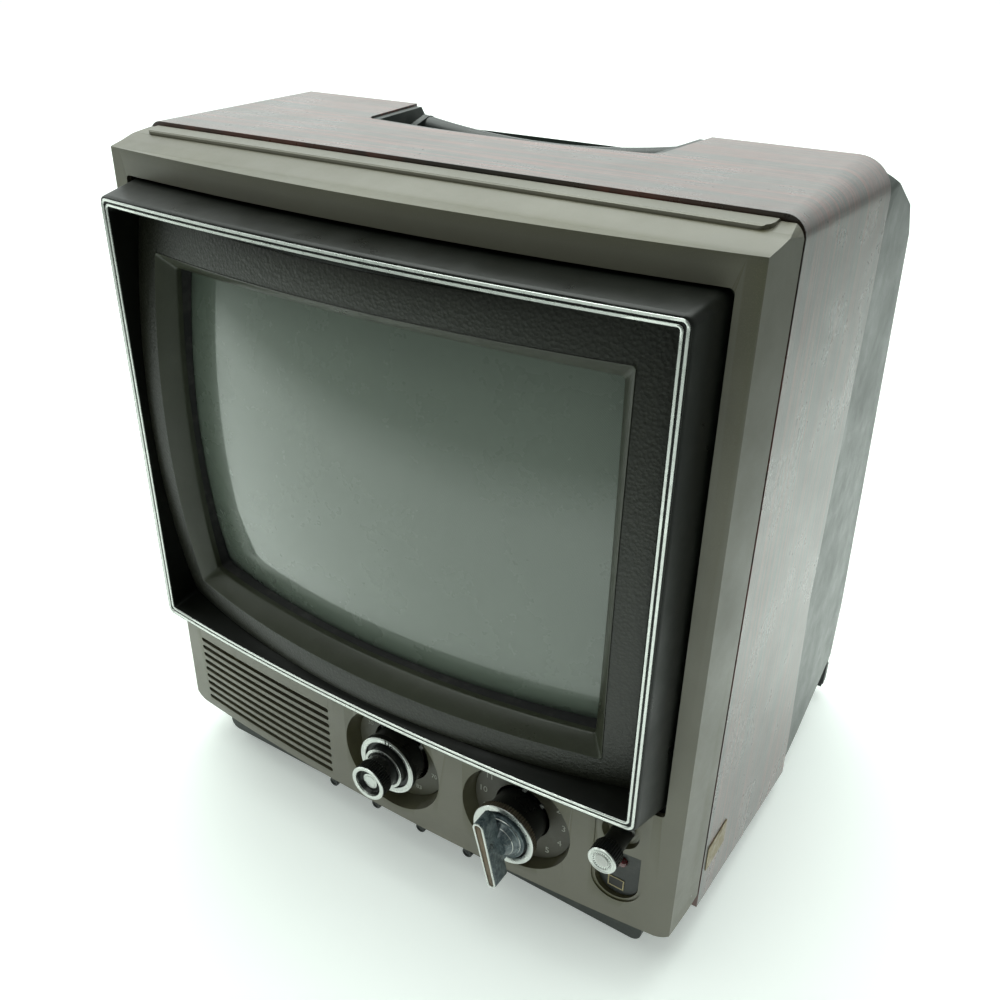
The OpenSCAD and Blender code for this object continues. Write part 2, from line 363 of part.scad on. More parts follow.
module mains_inlet() color([0.06,0.06,0.06]) fr() difference() { union() { bx([-121,252,51],[-99,264,65]); bx([-123.5,262.1,48.5],[-96.5,264,67.5]); } bx([-119,255,53],[-101,265,63]); }
module cord_hooks() color([0.07,0.08,0.08]) fr() for(s=[-1,1]) { bx([s*158-6,262.05,12],[s*158+6,264.2,54]); bx([s*158-5,264,9.2],[s*158+5,272.5,12.4]); bx([s*158-5,262.4,9.2],[s*158+5,264.1,14]); bx([s*158-5,269.8,12.3],[s*158+5,272.5,24]); }
// ---------- handle ----------
module handle_liner() color([0.09,0.1,0.1]) fr() difference() {
  union() {
    intersection() { plan(notch(0.3,168.2),345,384); side([[80,345],[168.2,345],[168.2,366.5],[146.4,377],[143.4,cab_top-3.4],[141.6,cab_top-1],[80,cab_top-1]],-90,90); }
    for(s=[-1,1]) bx([s>0?69.5:-79,133,346],[s>0?79:-69.5,142,364.9]);
  }
  difference() { plan(notch(4.8,166),347.2,400); for(s=[-1,1]) bx([s>0?69.5:-82,133,346],[s>0?82:-69.5,142,364.9]); }
  for(s=[-1,1]) cy2x(s,2.55);
}
module cy2x(s,r) translate([s>0?74:-88,110,366]) rotate([0,90,0]) cylinder(h=14,r=r,$fn=48);
module handle() color([0.06,0.07,0.07]) fr() difference() {
  union() {
    intersection() {
      translate([0,110+arm,367+455]) rotate([90,0,0]) rotate_extrude($fn=720) translate([455,0]) circle(r=grip_d/2,$fn=48);
      bx([-76,90,330],[76,200,400]);
    }
    for(s=[-1,1]) hull() { translate([s>0?72.2:-76.2,110,366]) rotate([0,90,0]) cylinder(h=4,r=6.5,$fn=48); translate([s>0?72.2:-76.2,110+arm,373.2]) rotate([0,90,0]) cylinder(h=4,r=grip_d/2,$fn=48); }
  }
  for(s=[-1,1]) translate([s>0?70:-79,110,366]) rotate([0,90,0]) cylinder(h=9,r=2.5+running,$fn=48);
}
module handle_pins() color([0.6,0.6,0.6]) fr() for(s=[-1,1]) { translate([s>0?72.4:-82.2,110,366]) rotate([0,90,0]) cylinder(h=9.8,r=2.5,$fn=48); }
module side_badge() color([0.5,0.45,0.35]) fr() bx([cw+0.02,32,51],[cw+0.6,56,67]);

cabinet();
front_mask();
hood();
trim_outer();
trim_inner();
screen_bezel();
screen_gasket();
crt_panel();
crt_funnel();
rimband();
crt_screws();
deflection_yoke();
neck_magnets();
socket_board();
uhf_plate();
vhf_plate();
uhf_ring();
uhf_ring_face();
uhf_fine_knob();
uhf_fine_rim();
uhf_fine_cap();
vhf_ring();
vhf_ring_face();
vhf_knob();
vhf_blade_trim();
volume_sleeve();
volume_knob();
volume_face();
lamp_plate();
pilot_jewel();
badge_blank();
peg_1();
peg_2();
peg_3();
peg_4();
control_pots();
uhf_tuner();
vhf_tuner();
tuner_bracket();
volume_pot();
speaker_frame();
speaker_magnet();
speaker_cone();
speaker_screws();
main_board();
flyback();
heatsink();
capacitors();
plinth();
feet();
back_cover();
back_screws();
terminal_plate();
terminal_screws();
mains_inlet();
cord_hooks();
handle_liner();
handle();
handle_pins();
side_badge();
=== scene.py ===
import json
import math
import bpy
import bmesh
from mathutils import Matrix, Vector


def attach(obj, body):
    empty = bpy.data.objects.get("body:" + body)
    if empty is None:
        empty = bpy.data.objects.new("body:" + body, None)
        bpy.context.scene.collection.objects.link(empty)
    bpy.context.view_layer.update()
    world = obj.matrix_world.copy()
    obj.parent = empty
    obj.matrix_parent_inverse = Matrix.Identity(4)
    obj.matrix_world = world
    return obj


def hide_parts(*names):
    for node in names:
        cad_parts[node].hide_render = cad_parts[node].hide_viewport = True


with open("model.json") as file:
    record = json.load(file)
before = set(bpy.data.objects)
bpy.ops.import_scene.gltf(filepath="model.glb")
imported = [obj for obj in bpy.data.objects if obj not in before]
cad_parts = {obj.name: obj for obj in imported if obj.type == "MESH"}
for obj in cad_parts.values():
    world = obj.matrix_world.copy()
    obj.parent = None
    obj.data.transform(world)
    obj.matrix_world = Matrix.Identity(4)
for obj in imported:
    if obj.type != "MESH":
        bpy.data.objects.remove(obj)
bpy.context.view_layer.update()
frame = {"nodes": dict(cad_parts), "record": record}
YO = 118.0
pi = math.pi


def P(x, y, z):
    """front frame millimetres to the row frame in metres"""
    return Vector((x / 1000.0, (y - YO) / 1000.0, z / 1000.0))


# ------------------------------------------------------------------ meshes
def new_ob(name, verts, faces, smooth=True):
    me = bpy.data.meshes.new(name)
    me.from_pydata([tuple(v) for v in verts], [], faces)
    me.validate()
    me.update()
    ob = bpy.data.objects.new(name, me)
    bpy.context.scene.collection.objects.link(ob)
    bm = bmesh.new()
    bm.from_mesh(me)
    bmesh.ops.remove_doubles(bm, verts=bm.verts, dist=1e-7)
    bmesh.ops.recalc_face_normals(bm, faces=bm.faces)
    bm.to_mesh(me)
    bm.free()
    for p in me.polygons:
        p.use_smooth = smooth
    return ob


def finish_edges(ob, width=0.0004, segs=2, angle=28, sharp=None):
    if width:
        b = ob.modifiers.new("edge", "BEVEL")
        b.width = width
        b.segments = segs
        b.limit_method = "ANGLE"
        b.angle_limit = math.radians(angle)
        b.harden_normals = False
        b.use_clamp_overlap = True
        b.miter_outer = "MITER_ARC"
    w = ob.modifiers.new("wn", "WEIGHTED_NORMAL")
    w.keep_sharp = True
    w.weight = 80
    return ob


def mark_sharp(ob, angle):
    bm = bmesh.new()
    bm.from_mesh(ob.data)
    lim = math.radians(angle)
    for e in bm.edges:
        if len(e.link_faces) != 2 or e.calc_face_angle(0) > lim:
            e.smooth = False
        else:
            e.smooth = True
    for f in bm.faces:
        f.smooth = True
    bm.to_mesh(ob.data)
    bm.free()


def measure(me):
    """area and volume of a mesh, with its faces split into triangles"""
    bm = bmesh.new()
    bm.from_mesh(me)
    bmesh.ops.triangulate(bm, faces=bm.faces)
    a = sum(f.calc_area() for f in bm.faces)
    v = abs(bm.calc_volume())
    bm.free()
    return a, v


def evaluated_measure(ob):
    bpy.context.view_layer.update()
    dg = bpy.context.evaluated_depsgraph_get()
    e = ob.evaluated_get(dg)
    me = bpy.data.meshes.new_from_object(e)
    r = measure(me)
    bpy.data.meshes.remove(me)
    return r


def refine(node, mat, width=0.0005, segs=2, angle=28, body="set", name=None):
    """the CAD piece again, with its flat faces joined and its edges softened; it falls back to plainer
    versions wherever joining or softening would change the piece's own area or volume"""
    src = frame["nodes"][node]
    ref = src.data.copy()
    ref.transform(src.matrix_world)
    a0, v0 = measure(ref)
    ob = None
    for step, (join, soft) in enumerate(((True, width), (False, width * 0.6), (True, 0.0), (False, 0.0))):
        if step == 2 and not width:
            continue
        me = ref.copy()
        ob = bpy.data.objects.new(name or node + "_v", me)
        bpy.context.scene.collection.objects.link(ob)
        bm = bmesh.new()
        bm.from_mesh(me)
        bmesh.ops.remove_doubles(bm, verts=bm.verts, dist=2e-6)
        if join:
            bmesh.ops.dissolve_limit(bm, angle_limit=math.radians(0.12), use_dissolve_boundaries=False, verts=bm.verts, edges=bm.edges, delimit={"NORMAL"})
        bmesh.ops.recalc_face_normals(bm, faces=bm.faces)
        for f in bm.faces:
            f.smooth = True
        bm.to_mesh(me)
        bm.free()
        if soft:
            finish_edges(ob, soft, segs, angle)
        mark_sharp(ob, 32)
        a1, v1 = evaluated_measure(ob)
        print("REFINE %-16s step %d area %.4f volume %.4f" % (node, step, a1 / a0, v1 / v0))
        if abs(a1 / a0 - 1) < 0.035 and abs(v1 / v0 - 1) < 0.012:
            break
        if step < 3:
            bpy.data.objects.remove(ob)
    me.materials.clear()
    me.materials.append(mat)
    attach(ob, body)
    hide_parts(node)
    return ob


def piece(ob, mat, nodes, body="set"):
    ob.data.materials.clear()
    ob.data.materials.append(mat)
    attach(ob, body)
    if nodes:
        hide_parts(*nodes)
    return ob


def lathe(name, cx, cz, prof, n=128, teeth=0, depth=0.0, sharp=30):
    """turned piece about a line along Y; a profile point is (r, y) or (r, y, 1) where the rim is grooved"""
    if teeth:
        n = teeth * 6
    verts, faces = [], []
    m = len(prof)
    for p in prof:
        r, y = p[0], p[1]
        g = len(p) > 2 and p[2]
        for i in range(n):
            a = 2 * pi * i / n
            rr = r
            if g:
                ph = i % 6
                rr = r - depth * (1.0 if ph in (0,) else (0.75 if ph in (1, 5) else 0.0))
            verts.append(P(cx + rr * math.sin(a), y, cz + rr * math.cos(a)))
    for j in range(m - 1):
        for i in range(n):
            k = (i + 1) % n
            faces.append((j * n + i, j * n + k, (j + 1) * n + k, (j + 1) * n + i))
    ob = new_ob(name, verts, faces)
    mark_sharp(ob, sharp)
    return ob


def rrect(a, h, r, ns=56, nc=7):
    """points of a rounded rectangle, counter-clockwise from the bottom left, same count for any size"""
    pts = []
    r = max(r, 0.02)
    for (sx, sz, ex, ez, cx, cz, a0) in (
        (-a + r, -h, a - r, -h, a - r, -h + r, -90),
        (a, -h + r, a, h - r, a - r, h - r, 0),
        (a - r, h, -a + r, h, -a + r, h - r, 90),
        (-a, h - r, -a, -h + r, -a + r, -h + r, 180),
    ):
        for i in range(ns):
            t = i / ns
            pts.append((sx + (ex - sx) * t, sz + (ez - sz) * t))
        for i in range(nc):
            t = math.radians(a0 + 90.0 * i / nc)
            pts.append((cx + r * math.cos(t), cz + r * math.sin(t)))
    return pts


def bring(a, h, zc, y0, b, v, sx=0.0, sz=0.0, r=1.0):
    """bowed, barrel-sided rounded rectangle"""
    out = []
    for x, z in rrect(a, h, r):
        tx, tz = max(-1, min(1, x / a)), max(-1, min(1, z / h))
        kx, kz = 1 - tx * tx, 1 - tz * tz
        out.append((x + sx * kz * tx, y0 - b * kx - v * kz, zc + z + sz * kx * tz))
    return out


def loft(name, rings, closed=True, sharp=30):
    verts, faces = [], []
    n = len(rings[0])
    m = len(rings)
    for rg in rings:
        verts += [P(*p) for p in rg]
    for j in range(m if closed else m - 1):
        k = (j + 1) % m
        for i in range(n):
            i2 = (i + 1) % n
            faces.append((j * n + i, j * n + i2, k * n + i2, k * n + i))
    ob = new_ob(name, verts, faces)
    mark_sharp(ob, sharp)
    return ob


def slab(name, pts, y0, y1):
    """flat outline of (x, z) points with thickness along Y"""
    n = len(pts)
    verts = [P(x, y0, z) for x, z in pts] + [P(x, y1, z) for x, z in pts]
    faces = [tuple(range(n)), tuple(range(2 * n - 1, n - 1, -1))]
    for i in range(n):
        k = (i + 1) % n
        faces.append((i, n + i, n + k, k))
    return new_ob(name, verts, faces)


def frame_slab(name, outer, inner, y0, y1):
    n = len(outer)
    verts = [P(x, y0, z) for x, z in outer] + [P(x, y0, z) for x, z in inner] + [P(x, y1, z) for x, z in inner] + [P(x, y1, z) for x, z in outer]
    faces = []
    for j in range(4):
        k = (j + 1) % 4
        for i in range(n):
            i2 = (i + 1) % n
            faces.append((j * n + i, j * n + i2, k * n + i2, k * n + i))
    return new_ob(name, verts, faces)


# ------------------------------------------------------------------ materials
class Mat:
    def __init__(s, name, rough=0.5, metal=0.0, spec=0.5, coat=0.0, coat_rough=0.1, ior=1.5):
        s.m = bpy.data.materials.new(name)
        s.m.use_nodes = True
        s.t = s.m.node_tree
        s.t.nodes.clear()
        s.out = s.t.nodes.new("ShaderNodeOutputMaterial")
        s.b = s.t.nodes.new("ShaderNodeBsdfPrincipled")
        s.t.links.new(s.b.outputs[0], s.out.inputs[0])
        s.b.inputs["Roughness"].default_value = rough
        s.b.inputs["Metallic"].default_value = metal
        s.b.inputs["Specular IOR Level"].default_value = spec
        s.b.inputs["Coat Weight"].default_value = coat
        s.b.inputs["Coat Roughness"].default_value = coat_rough
        s.b.inputs["IOR"].default_value = ior
        s.co = s.t.nodes.new("ShaderNodeTexCoord").outputs["Object"]
        s.nrm = None

    def set(s, sock, val):
        if hasattr(val, "links"):
            s.t.links.new(val, sock)
        else:
            sock.default_value = val

    def col(s, c):
        return (c[0], c[1], c[2], 1.0) if isinstance(c, (tuple, list)) and len(c) == 3 else c

    def scale(s, v, loc=(0, 0, 0), rot=(0, 0, 0), src=None):
        n = s.t.nodes.new("ShaderNodeMapping")
        n.inputs["Scale"].default_value = v
        n.inputs["Location"].default_value = loc
        n.inputs["Rotation"].default_value = rot
        s.t.links.new(src or s.co, n.inputs["Vector"])
        return n.outputs[0]

    def noise(s, scale, detail=4.0, rough=0.55, vec=None, dist=0.0):
        n = s.t.nodes.new("ShaderNodeTexNoise")
        n.inputs["Scale"].default_value = scale
        n.inputs["Detail"].default_value = detail
        n.inputs["Roughness"].default_value = rough
        n.inputs["Distortion"].default_value = dist
        s.t.links.new(vec or s.co, n.inputs["Vector"])
        return n.outputs["Fac"]

    def voro(s, scale, feature="F1", vec=None):
        n = s.t.nodes.new("ShaderNodeTexVoronoi")
        n.feature = feature
        n.inputs["Scale"].default_value = scale
        s.t.links.new(vec or s.co, n.inputs["Vector"])
        return n.outputs["Distance"]

    def ramp(s, fac, *stops):
        n = s.t.nodes.new("ShaderNodeValToRGB")
        e = n.color_ramp.elements
        while len(e) < len(stops):
            e.new(0.5)
        for k, (p, c) in enumerate(stops):
            e[k].position = p
            e[k].color = (c, c, c, 1) if isinstance(c, (int, float)) else s.col(c)
        s.t.links.new(fac, n.inputs[0])
        return n.outputs[0]

    def mix(s, fac, a, b, mode="MIX"):
        n = s.t.nodes.new("ShaderNodeMix")
        n.data_type = "RGBA"
        n.blend_type = mode
        s.set(n.inputs[0], fac)
        s.set(n.inputs[6], s.col(a))
        s.set(n.inputs[7], s.col(b))
        return n.outputs[2]

    def math(s, op, a, b=0.0, c=None):
        n = s.t.nodes.new("ShaderNodeMath")
        n.operation = op
        s.set(n.inputs[0], a)
        s.set(n.inputs[1], b)
        if c is not None:
            s.set(n.inputs[2], c)
        return n.outputs[0]

    def rng(s, v, a, b, c, d):
        n = s.t.nodes.new("ShaderNodeMapRange")
        n.clamp = True
        s.set(n.inputs[0], v)
        for k, x in enumerate((a, b, c, d)):
            n.inputs[k + 1].default_value = x
        return n.outputs[0]

    def xyz(s):
        n = s.t.nodes.new("ShaderNodeSeparateXYZ")
        s.t.links.new(s.co, n.inputs[0])
        return n.outputs

    def vec(s, x, y, z):
        n = s.t.nodes.new("ShaderNodeCombineXYZ")
        s.set(n.inputs[0], x)
        s.set(n.inputs[1], y)
        s.set(n.inputs[2], z)
        return n.outputs[0]

    def bump(s, h, strength, dist):
        n = s.t.nodes.new("ShaderNodeBump")
        n.inputs["Strength"].default_value = strength
        n.inputs["Distance"].default_value = dist
        s.t.links.new(h, n.inputs["Height"])
        if s.nrm is not None:
            s.t.links.new(s.nrm, n.inputs["Normal"])
        s.nrm = n.outputs[0]
        s.t.links.new(s.nrm, s.b.inputs["Normal"])
        return s

    def color(s, c):
        s.set(s.b.inputs["Base Color"], s.col(c))
        return s

    def rough(s, r):
        s.set(s.b.inputs["Roughness"], r)
        return s

    def wear(s):
        """0..1 where an edge stands out"""
        g = s.t.nodes.new("ShaderNodeNewGeometry")
        return g.outputs["Pointiness"]


def plastic(name, base, rough=0.45, grain=0.25, scale=1400.0, blotch=0.18, spec=0.4, coat=0.0, dust=0.0, metal=0.0, bumpd=0.00012):
    m = Mat(name, rough, metal, spec, coat)
    b = Vector(base)
    big = m.noise(22, 5, 0.6)
    c = m.mix(m.rng(big, 0.3, 0.7, 0, 1), tuple(b * (1 - blotch)), tuple(b * (1 + blotch)))
    fine = m.noise(scale, 2, 0.5)
    c = m.mix(m.rng(fine, 0.35, 0.7, 0, 0.35), c, tuple(b * 1.35))
    if dust:
        dn = m.noise(70, 6, 0.7)
        c = m.mix(m.rng(dn, 0.52, 0.75, 0, dust), c, (0.30, 0.29, 0.25))
    m.color(c)
    m.rough(m.rng(m.noise(45, 5, 0.65), 0.3, 0.7, max(0.05, rough - 0.08), min(1, rough + 0.1)))
    m.bump(m.noise(scale, 3, 0.55), grain, bumpd)
    return m


def metal_mat(name, base, rough=0.25, brushed=0.0, dirt=0.25):
    m = Mat(name, rough, 1.0)
    b = Vector(base)
    n = m.noise(180, 6, 0.7)
    c = m.mix(m.rng(n, 0.5, 0.75, 0, dirt), tuple(b), tuple(b * 0.35))
    c = m.mix(m.rng(m.noise(30, 4, 0.6), 0.35, 0.65, 0, 0.35), c, tuple(b * 0.82))
    m.color(c)
    m.rough(m.rng(m.noise(260, 4, 0.6), 0.3, 0.7, rough * 0.7, rough * 1.6))
    m.bump(m.noise(900, 3, 0.6), 0.12 + brushed * 0.3, 0.00006)
    return m


def wood():
    m = Mat("wood_print", 0.36, 0.0, 0.75, 0.42, 0.30, 1.52)
    x, y, z = m.xyz()
    ax = m.math("ABSOLUTE", x)
    s = m.math("SUBTRACT", ax, z)          # runs along the wrapped sheet, over the top and down the sides
    wob = m.noise(9, 3, 0.5)
    yy = m.math("ADD", y, m.math("MULTIPLY", wob, 0.006))
    wide = m.noise(1.0, 3, 0.55, m.vec(m.math("MULTIPLY", s, 1.6), m.math("MULTIPLY", yy, 150), 0.0))
    band = m.noise(1.0, 4, 0.6, m.vec(m.math("MULTIPLY", s, 4.0), m.math("MULTIPLY", yy, 430), 3.0))
    fine = m.noise(1.0, 3, 0.6, m.vec(m.math("MULTIPLY", s, 22.0), m.math("MULTIPLY", y, 1700), 7.0))
    pore = m.noise(1.0, 2, 0.5, m.vec(m.math("MULTIPLY", s, 95.0), m.math("MULTIPLY", y, 2100), 1.0))
    c = m.ramp(wide, (0.36, (0.018, 0.026, 0.017)), (0.45, (0.105, 0.027, 0.016)), (0.54, (0.185, 0.040, 0.023)), (0.62, (0.022, 0.032, 0.021)))
    c = m.mix(m.rng(band, 0.47, 0.56, 0.0, 0.80), c, (0.010, 0.011, 0.008))
    c = m.mix(m.rng(band, 0.34, 0.44, 0.65, 0.0), c, (0.200, 0.052, 0.030))
    c = m.mix(m.rng(fine, 0.46, 0.62, 0.0, 0.50), c, (0.014, 0.011, 0.010))
    c = m.mix(m.rng(pore, 0.58, 0.70, 0.0, 0.85), c, (0.004, 0.004, 0.003))
    scr = m.noise(1.0, 4, 0.7, m.vec(m.math("MULTIPLY", s, 16.0), m.math("MULTIPLY", y, 85), 11.0))
    c = m.mix(m.rng(scr, 0.75, 0.77, 0.0, 0.6), c, (0.008, 0.006, 0.006))
    m.color(c)
    m.rough(m.rng(m.noise(24, 6, 0.65), 0.3, 0.75, 0.24, 0.36))
    m.bump(fine, 0.55, 0.00016)
    m.bump(pore, 0.70, 0.00016)
    m.bump(m.noise(900, 3, 0.6), 0.08, 0.00008)
    return m


def bronze():
    m = Mat("bronze_mask", 0.38, 0.15, 0.7, 0.35, 0.30)
    x, y, z = m.xyz()
    big = m.noise(11, 6, 0.62)
    c = m.mix(m.rng(big, 0.32, 0.68, 0, 1), (0.064, 0.059, 0.025), (0.089, 0.081, 0.036))
    flake = m.noise(2600, 2, 0.6)
    c = m.mix(m.rng(flake, 0.50, 0.72, 0, 0.4), c, (0.15, 0.138, 0.078))
    rub = m.noise(1.0, 5, 0.7, m.scale((9, 9, 26)))
    c = m.mix(m.rng(rub, 0.56, 0.74, 0, 0.45), c, (0.030, 0.027, 0.018))
    spots = m.noise(120, 5, 0.75)
    c = m.mix(m.rng(spots, 0.70, 0.76, 0, 0.7), c, (0.025, 0.022, 0.018))
    chip = m.noise(1.0, 5, 0.8, m.scale((150, 150, 90)))
    low = m.rng(z, 0.10, 0.04, 0.0, 1.0)
    c = m.mix(m.math("MULTIPLY", m.rng(chip, 0.685, 0.70, 0.0, 0.8), low), c, (0.30, 0.29, 0.25))
    edge = m.rng(m.wear(), 0.515, 0.56, 0.0, 0.55)
    c = m.mix(edge, c, (0.16, 0.15, 0.12))
    m.color(c)
    m.rough(m.rng(m.noise(30, 5, 0.7), 0.3, 0.7, 0.33, 0.52))
    m.bump(m.noise(2200, 2, 0.5), 0.12, 0.00006)
    m.bump(m.noise(60, 4, 0.6), 0.06, 0.0004)
    return m


def leather(name, base, depth=0.5):
    m = Mat(name, 0.42, 0.0, 0.5)
    b = Vector(base)
    cell = m.voro(620, "F1")
    n2 = m.noise(1500, 3, 0.6)
    h = m.math("ADD", m.math("MULTIPLY", cell, 1.0), m.math("MULTIPLY", n2, 0.6))
    big = m.noise(16, 5, 0.6)
    c = m.mix(m.rng(big, 0.3, 0.7, 0, 1), tuple(b * 0.82), tuple(b * 1.2))
    c = m.mix(m.rng(cell, 0.25, 0.6, 0, 0.5), c, tuple(b * 0.55))
    c = m.mix(m.rng(m.noise(80, 6, 0.75), 0.68, 0.78, 0, 0.25), c, (0.22, 0.21, 0.18))
    m.color(c)
    m.rough(m.rng(n2, 0.3, 0.7, 0.34, 0.55))
    m.bump(h, depth, 0.00035)
    return m


def glass_face():
    m = Mat("tube_glass", 0.22, 0.0, 0.5, 1.0, 0.03)
    x, y, z = m.xyz()
    px = m.math("SINE", m.math("MULTIPLY", x, 2 * pi / 0.00076))
    pz = m.math("SINE", m.math("MULTIPLY", z, 2 * pi / 0.00066))
    dots = m.math("MULTIPLY", px, pz)
    big = m.noise(7, 3, 0.5)
    c = m.mix(m.rng(big, 0.3, 0.7, 0, 1), (0.085, 0.108, 0.084), (0.108, 0.134, 0.106))
    c = m.mix(m.rng(dots, -0.2, 1, 0, 0.85), c, (0.225, 0.270, 0.222))
    c = m.mix(m.rng(m.noise(260, 6, 0.8), 0.66, 0.8, 0, 0.35), c, (0.34, 0.36, 0.33))
    m.color(c)
    m.rough(m.rng(m.noise(20, 5, 0.7), 0.3, 0.7, 0.22, 0.32))
    m.bump(dots, 0.05, 0.00003)
    return m


SLOT = {s["node"]: s["material_slot"] for s in frame["record"]["subparts"]}

M = {}
M["wood_print"] = wood()
M["bronze_mask"] = bronze()
M["hood_brown"] = plastic("hood_brown", (0.0075, 0.0085, 0.0065), 0.34, 0.10, 900, 0.3, spec=0.30, dust=0.03)
M["silver_trim"] = metal_mat("silver_trim", (0.66, 0.68, 0.65), 0.28, 0.0, 0.12)
M["bezel_brown"] = leather("bezel_brown", (0.015, 0.016, 0.009))
M["black_rubber"] = plastic("black_rubber", (0.012, 0.012, 0.012), 0.75, 0.3, 700, 0.3, dust=0.12)
M["tube_glass"] = glass_face()
M["tube_coating"] = plastic("tube_coating", (0.02, 0.02, 0.022), 0.5, 0.2, 500)
M["steel"] = metal_mat("steel", (0.55, 0.55, 0.53), 0.38, 0.5)
M["screws"] = metal_mat("screws", (0.42, 0.41, 0.39), 0.35, 0.3, 0.5)
M["copper"] = metal_mat("copper", (0.45, 0.18, 0.08), 0.4, 0.5)
M["pale_plastic"] = plastic("pale_plastic", (0.62, 0.60, 0.52), 0.5, 0.15)
M["board"] = plastic("board", (0.20, 0.12, 0.045), 0.55, 0.2, 500)
M["dial_brown"] = plastic("dial_brown", (0.062, 0.058, 0.034), 0.38, 0.15, 2000, 0.2, spec=0.6, dust=0.10)
M["dial_bronze"] = plastic("dial_bronze", (0.058, 0.053, 0.036), 0.40, 0.15, 2000, 0.2, spec=0.6, dust=0.14, metal=0.15)
M["black_knob"] = plastic("black_knob", (0.013, 0.014, 0.013), 0.30, 0.12, 1500, 0.3, dust=0.16)
bm_ = Mat("blade_grey", 0.34, 0.25, 0.6, 0.3, 0.2)
mot = bm_.noise(170, 7, 0.75, dist=0.6)
cc = bm_.ramp(mot, (0.36, (0.020, 0.032, 0.038)), (0.48, (0.075, 0.105, 0.118)), (0.60, (0.165, 0.205, 0.215)), (0.72, (0.050, 0.068, 0.074)))
cc = bm_.mix(bm_.rng(bm_.noise(620, 5, 0.7), 0.56, 0.70, 0, 0.6), cc, (0.36, 0.39, 0.37))
cc = bm_.mix(bm_.rng(bm_.noise(240, 5, 0.7), 0.62, 0.72, 0, 0.7), cc, (0.015, 0.018, 0.018))
bm_.color(cc)
bm_.rough(bm_.rng(mot, 0.3, 0.7, 0.22, 0.5))
bm_.bump(mot, 0.35, 0.00025)
M["blade_grey"] = bm_
M["lamp_plate"] = plastic("lamp_plate", (0.035, 0.038, 0.036), 0.42, 0.12, 1800, 0.2, dust=0.1)
M["jewel_red"] = plastic("jewel_red", (0.10, 0.005, 0.008), 0.12, 0.05, 800, 0.3, coat=1.0)
M["badge"] = metal_mat("badge", (0.33, 0.28, 0.19), 0.42, 0.2, 0.6)
M["peg_black"] = plastic("peg_black", (0.014, 0.018, 0.017), 0.28, 0.1, 1200, 0.3, dust=0.1)
M["pot_metal"] = metal_mat("pot_metal", (0.5, 0.5, 0.48), 0.4, 0.4)
M["speaker_steel"] = plastic("speaker_steel", (0.03, 0.03, 0.03), 0.45, 0.1, 600)
M["magnet"] = plastic("magnet", (0.07, 0.07, 0.075), 0.6, 0.4, 400)
M["cone_paper"] = plastic("cone_paper", (0.02, 0.018, 0.017), 0.85, 0.6, 350)
M["flyback"] = plastic("flyback", (0.04, 0.03, 0.03), 0.5, 0.2, 300)
M["heatsink"] = plastic("heatsink", (0.03, 0.03, 0.03), 0.4, 0.2, 500, metal=0.6)
M["can_blue"] = plastic("can_blue", (0.02, 0.05, 0.17), 0.3, 0.1, 400)
M["plinth_green"] = plastic("plinth_green", (0.045, 0.052, 0.047), 0.45, 0.3, 900, 0.2, dust=0.12)
M["back_grey"] = plastic("back_grey", (0.030, 0.041, 0.033), 0.42, 0.70, 1500, 0.06, spec=0.6, coat=0.15, dust=0.0, bumpd=0.00022)
M["black_plastic"] = plastic("black_plastic", (0.015, 0.017, 0.017), 0.4, 0.2, 900, dust=0.1)
M["screws_brass"] = metal_mat("screws_brass", (0.55, 0.42, 0.18), 0.3)
M["liner_green"] = plastic("liner_green", (0.024, 0.030, 0.028), 0.36, 0.2, 900, 0.2, dust=0.1)
M["grip_black"] = plastic("grip_black", (0.018, 0.022, 0.021), 0.26, 0.15, 700, 0.25, dust=0.06)
M["groove"] = plastic("groove", (0.006, 0.006, 0.006), 0.5, 0.2, 700, 0.3)
# painted shade: inner_hood is hood_brown made darker and less specular, standing in for the shade on the hood's
# recessed inner walls
M["inner_hood"] = plastic("inner_hood", (0.0035, 0.0042, 0.0028), 0.40, 0.12, 1200, 0.3, spec=0.14, dust=0.015)
M["ring_brown"] = plastic("ring_brown", (0.030, 0.033, 0.020), 0.34, 0.08, 1500, 0.15, dust=0.04)
M["paint_pale"] = plastic("paint_pale", (0.42, 0.42, 0.37), 0.5, 0.1, 2500, 0.25)
M["paint_dark"] = plastic("paint_dark", (0.02, 0.018, 0.015), 0.5, 0.1, 2500, 0.2)
M["teeth_brown"] = plastic("teeth_brown", (0.150, 0.125, 0.090), 0.42, 0.4, 800, 0.4, dust=0.35, metal=0.3)
M["paint_gold"] = plastic("paint_gold", (0.50, 0.42, 0.24), 0.4, 0.1, 1500, 0.25, metal=0.3)
M["dirt_tan"] = plastic("dirt_tan", (0.20, 0.155, 0.11), 0.75, 0.6, 600, 0.4, dust=0.4)
M["volume_white"] = plastic("volume_white", (0.62, 0.63, 0.60), 0.35, 0.1, 1500, 0.1)

M = {k: v.m for k, v in M.items()}

# every CAD piece starts with its own finish
for node, ob in frame["nodes"].items():
    ob.data.materials.clear()
    ob.data.materials.append(M[SLOT[node]])

# ------------------------------------------------------------------ cabinet and mask
refine("cabinet", M["wood_print"], 0.0006)
refine("front_mask", M["bronze_mask"], 0.0007, 3, 24)
refine("back_cover", M["back_grey"], 0.0012, 3, 20)
refine("plinth", M["plinth_green"], 0.0008)
refine("handle_liner", M["liner_green"], 0.0006)
refine("handle", M["grip_black"], 0.0, body="carry_handle")
refine("feet", M["black_rubber"], 0.0008)
refine("side_badge", M["badge"], 0.0002)
refine("mains_inlet", M["black_plastic"], 0.0004)
refine("cord_hooks", M["black_plastic"], 0.0006)
refine("terminal_plate", M["black_plastic"], 0.0004)
refine("uhf_plate", M["dial_brown"], 0.0002)
refine("vhf_plate", M["dial_bronze"], 0.0002)
refine("lamp_plate", M["lamp_plate"], 0.0002)

